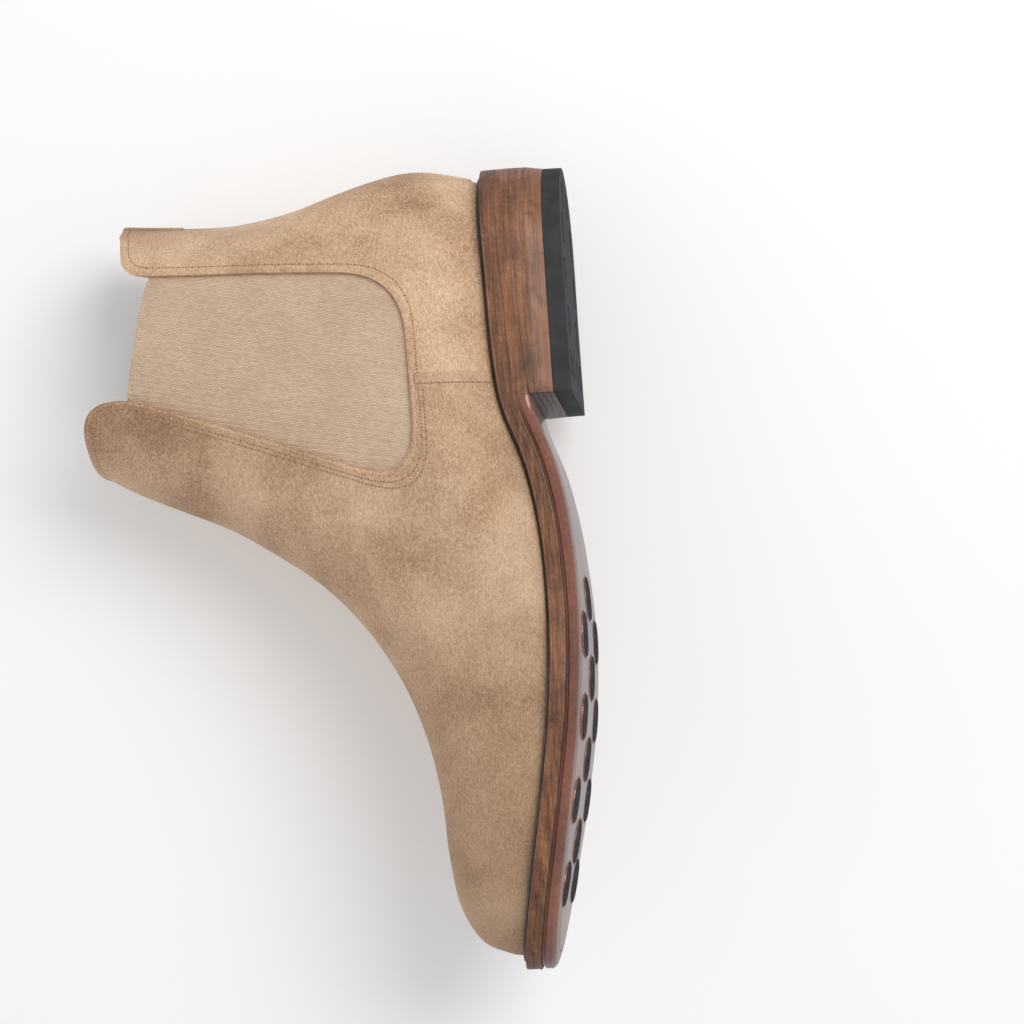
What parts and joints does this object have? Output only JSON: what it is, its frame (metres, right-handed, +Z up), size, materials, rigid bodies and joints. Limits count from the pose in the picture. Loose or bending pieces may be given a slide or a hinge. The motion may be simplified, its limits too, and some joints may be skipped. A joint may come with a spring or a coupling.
{
  "type": "chelsea boot",
  "caption": "Ankle-high suede chelsea boot for the right foot, with elastic side gores, a welted leather sole, a stacked heel and a studded forepart.",
  "frame": {"origin": "on the ground under the middle of the boot's bounding box", "axes": "+X towards the toe, +Y towards the inner (medial) side of the right foot, +Z up"},
  "size_m": [0.3054, 0.098, 0.1855],
  "materials": {
    "suede": "napped tan suede",
    "elastic": "fine ribbed beige elastic",
    "lining": "smooth orange-tan lining leather",
    "sock": "smooth brown insole leather",
    "board": "hidden fibre board and stiffener",
    "edge": "burnished brown sole edge with streaks",
    "outsole": "glossy red-brown leather sole",
    "cork": "granulated cork",
    "steel": "hidden spring steel",
    "rubber": "matt black rubber"
  },
  "bodies": {
    "root": {"vamp": "suede", "quarter_medial": "suede", "quarter_lateral": "suede", "gore_medial": "elastic", "gore_lateral": "elastic", "backstay": "suede", "back_tab": "suede", "vamp_lining": "lining", "quarter_lining": "lining", "heel_counter": "board", "toe_puff": "board", "insole_board": "board", "sock_lining": "sock", "shank_board": "board", "steel_shank": "steel", "cork_filler": "cork", "rand": "edge", "welt": "edge", "midsole": "edge", "outsole": "outsole", "heel_wedge": "edge", "heel_lift_1": "edge", "heel_lift_2": "edge", "heel_lift_3": "edge", "top_lift": "rubber", "stud_1": "rubber", "stud_2": "rubber", "stud_3": "rubber", "stud_4": "rubber", "stud_5": "rubber", "stud_6": "rubber", "stud_7": "rubber", "stud_8": "rubber", "stud_9": "rubber", "stud_10": "rubber", "stud_11": "rubber", "stud_12": "rubber"}
  },
  "joints": []
}
